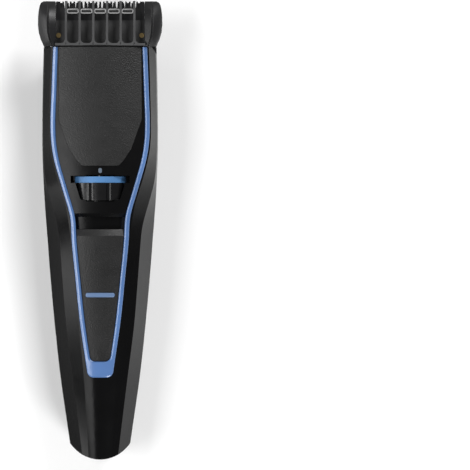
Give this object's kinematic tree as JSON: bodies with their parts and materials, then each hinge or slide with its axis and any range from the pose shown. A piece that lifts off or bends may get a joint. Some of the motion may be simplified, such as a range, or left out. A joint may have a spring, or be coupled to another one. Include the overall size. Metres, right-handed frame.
{
  "type": "beard trimmer",
  "caption": "Cordless beard trimmer with a toothed steel cutter, a sliding guide comb set by a length wheel, and a sliding power button.",
  "frame": {"origin": "centre of the footprint, on the surface that the trimmer's back rests on", "axes": "+Y from the tail to the cutting head; +Z out of the front face with the wheel and power slider; +X the right-hand side seen from the front"},
  "size_m": [0.0462, 0.17, 0.0328],
  "materials": {
    "shell": "moulded gloss black",
    "back_shell": "moulded satin black",
    "trim_blue": "glossy blue",
    "cover_satin": "satin black",
    "shield_matte": "fine matte texture",
    "slider_matte": "fine matte texture",
    "bar_blue": "satin blue",
    "mark_grey": "pale grey blue",
    "wheel_black": "ribbed black",
    "ring_blue": "satin blue",
    "comb_black": "satin black, translucent at thin edges",
    "carriage_plastic": "moulded",
    "head_plastic": "gloss black",
    "blade_steel": "ground steel",
    "spring_steel": "spring steel",
    "screw_steel": "zinc plated",
    "yoke_plastic": "natural acetal",
    "motor_steel": "drawn steel can",
    "magnet": "bonded ferrite",
    "rotor_copper": "laminated core with copper winding",
    "bell_plastic": "moulded",
    "cell_wrap": "shrink wrap",
    "tab_nickel": "nickel strip",
    "board": "solder mask",
    "jack_plastic": "moulded",
    "contact_brass": "plated",
    "wire": "insulated wire"
  },
  "bodies": {
    "handle": {"front_shell": "shell", "rear_shell": "back_shell", "housing_screws": "screw_steel", "trim_frame": "trim_blue", "centre_cover": "cover_satin", "shield_plate": "shield_matte", "index_mark": "mark_grey", "wheel_axle": "screw_steel", "wheel_detent_spring": "spring_steel", "head_frame": "carriage_plastic", "cutter_holder": "head_plastic", "fixed_blade": "blade_steel", "cutter_screws": "screw_steel", "blade_spring": "spring_steel", "motor_can": "motor_steel", "motor_magnets": "magnet", "motor_end_bell": "bell_plastic", "battery_cell": "cell_wrap", "battery_tabs": "tab_nickel", "circuit_board": "board", "slide_switch": "jack_plastic", "charge_jack": "jack_plastic", "jack_contact_pin": "contact_brass", "motor_leads": "wire"},
    "slider": {"power_slider": "slider_matte", "thumb_bar": "bar_blue", "switch_nub": "jack_plastic"},
    "wheel": {"zoom_wheel": "wheel_black", "number_ring": "ring_blue"},
    "carriage": {"comb_carriage": "carriage_plastic"},
    "comb": {"comb": "comb_black"},
    "rotor": {"rotor_shaft": "spring_steel", "rotor_core": "rotor_copper", "eccentric_cam": "yoke_plastic"},
    "cutter": {"moving_blade": "blade_steel", "drive_yoke": "yoke_plastic"}
  },
  "joints": [
    {"name": "wheel_turn", "type": "hinge", "parent": "handle", "child": "wheel", "pos_m": [0, 0.0142, 0.0203], "axis": [0, 1, 0], "range_deg": [0, 300]},
    {"name": "carriage_slide", "type": "slide", "parent": "handle", "child": "carriage", "axis": [0, 1, 0], "range_m": [0, 0.0095]},
    {"name": "comb_pull", "type": "slide", "parent": "carriage", "child": "comb", "axis": [0, 1, 0], "range_m": [0, 0.05]},
    {"name": "power_slide", "type": "slide", "parent": "handle", "child": "slider", "axis": [0, 1, 0], "range_m": [0, 0.0035]},
    {"name": "motor_spin", "type": "hinge", "parent": "handle", "child": "rotor", "pos_m": [0, 0.035, 0.01531], "axis": [0, 1, 0], "continuous": true},
    {"name": "blade_slide", "type": "slide", "parent": "handle", "child": "cutter", "axis": [1, 0, 0], "range_m": [-0.0009, 0.0009]}
  ],
  "couplings": [
    {"joint": "wheel_turn", "follows": "carriage_slide", "rad_per_m": 551.16}
  ]
}
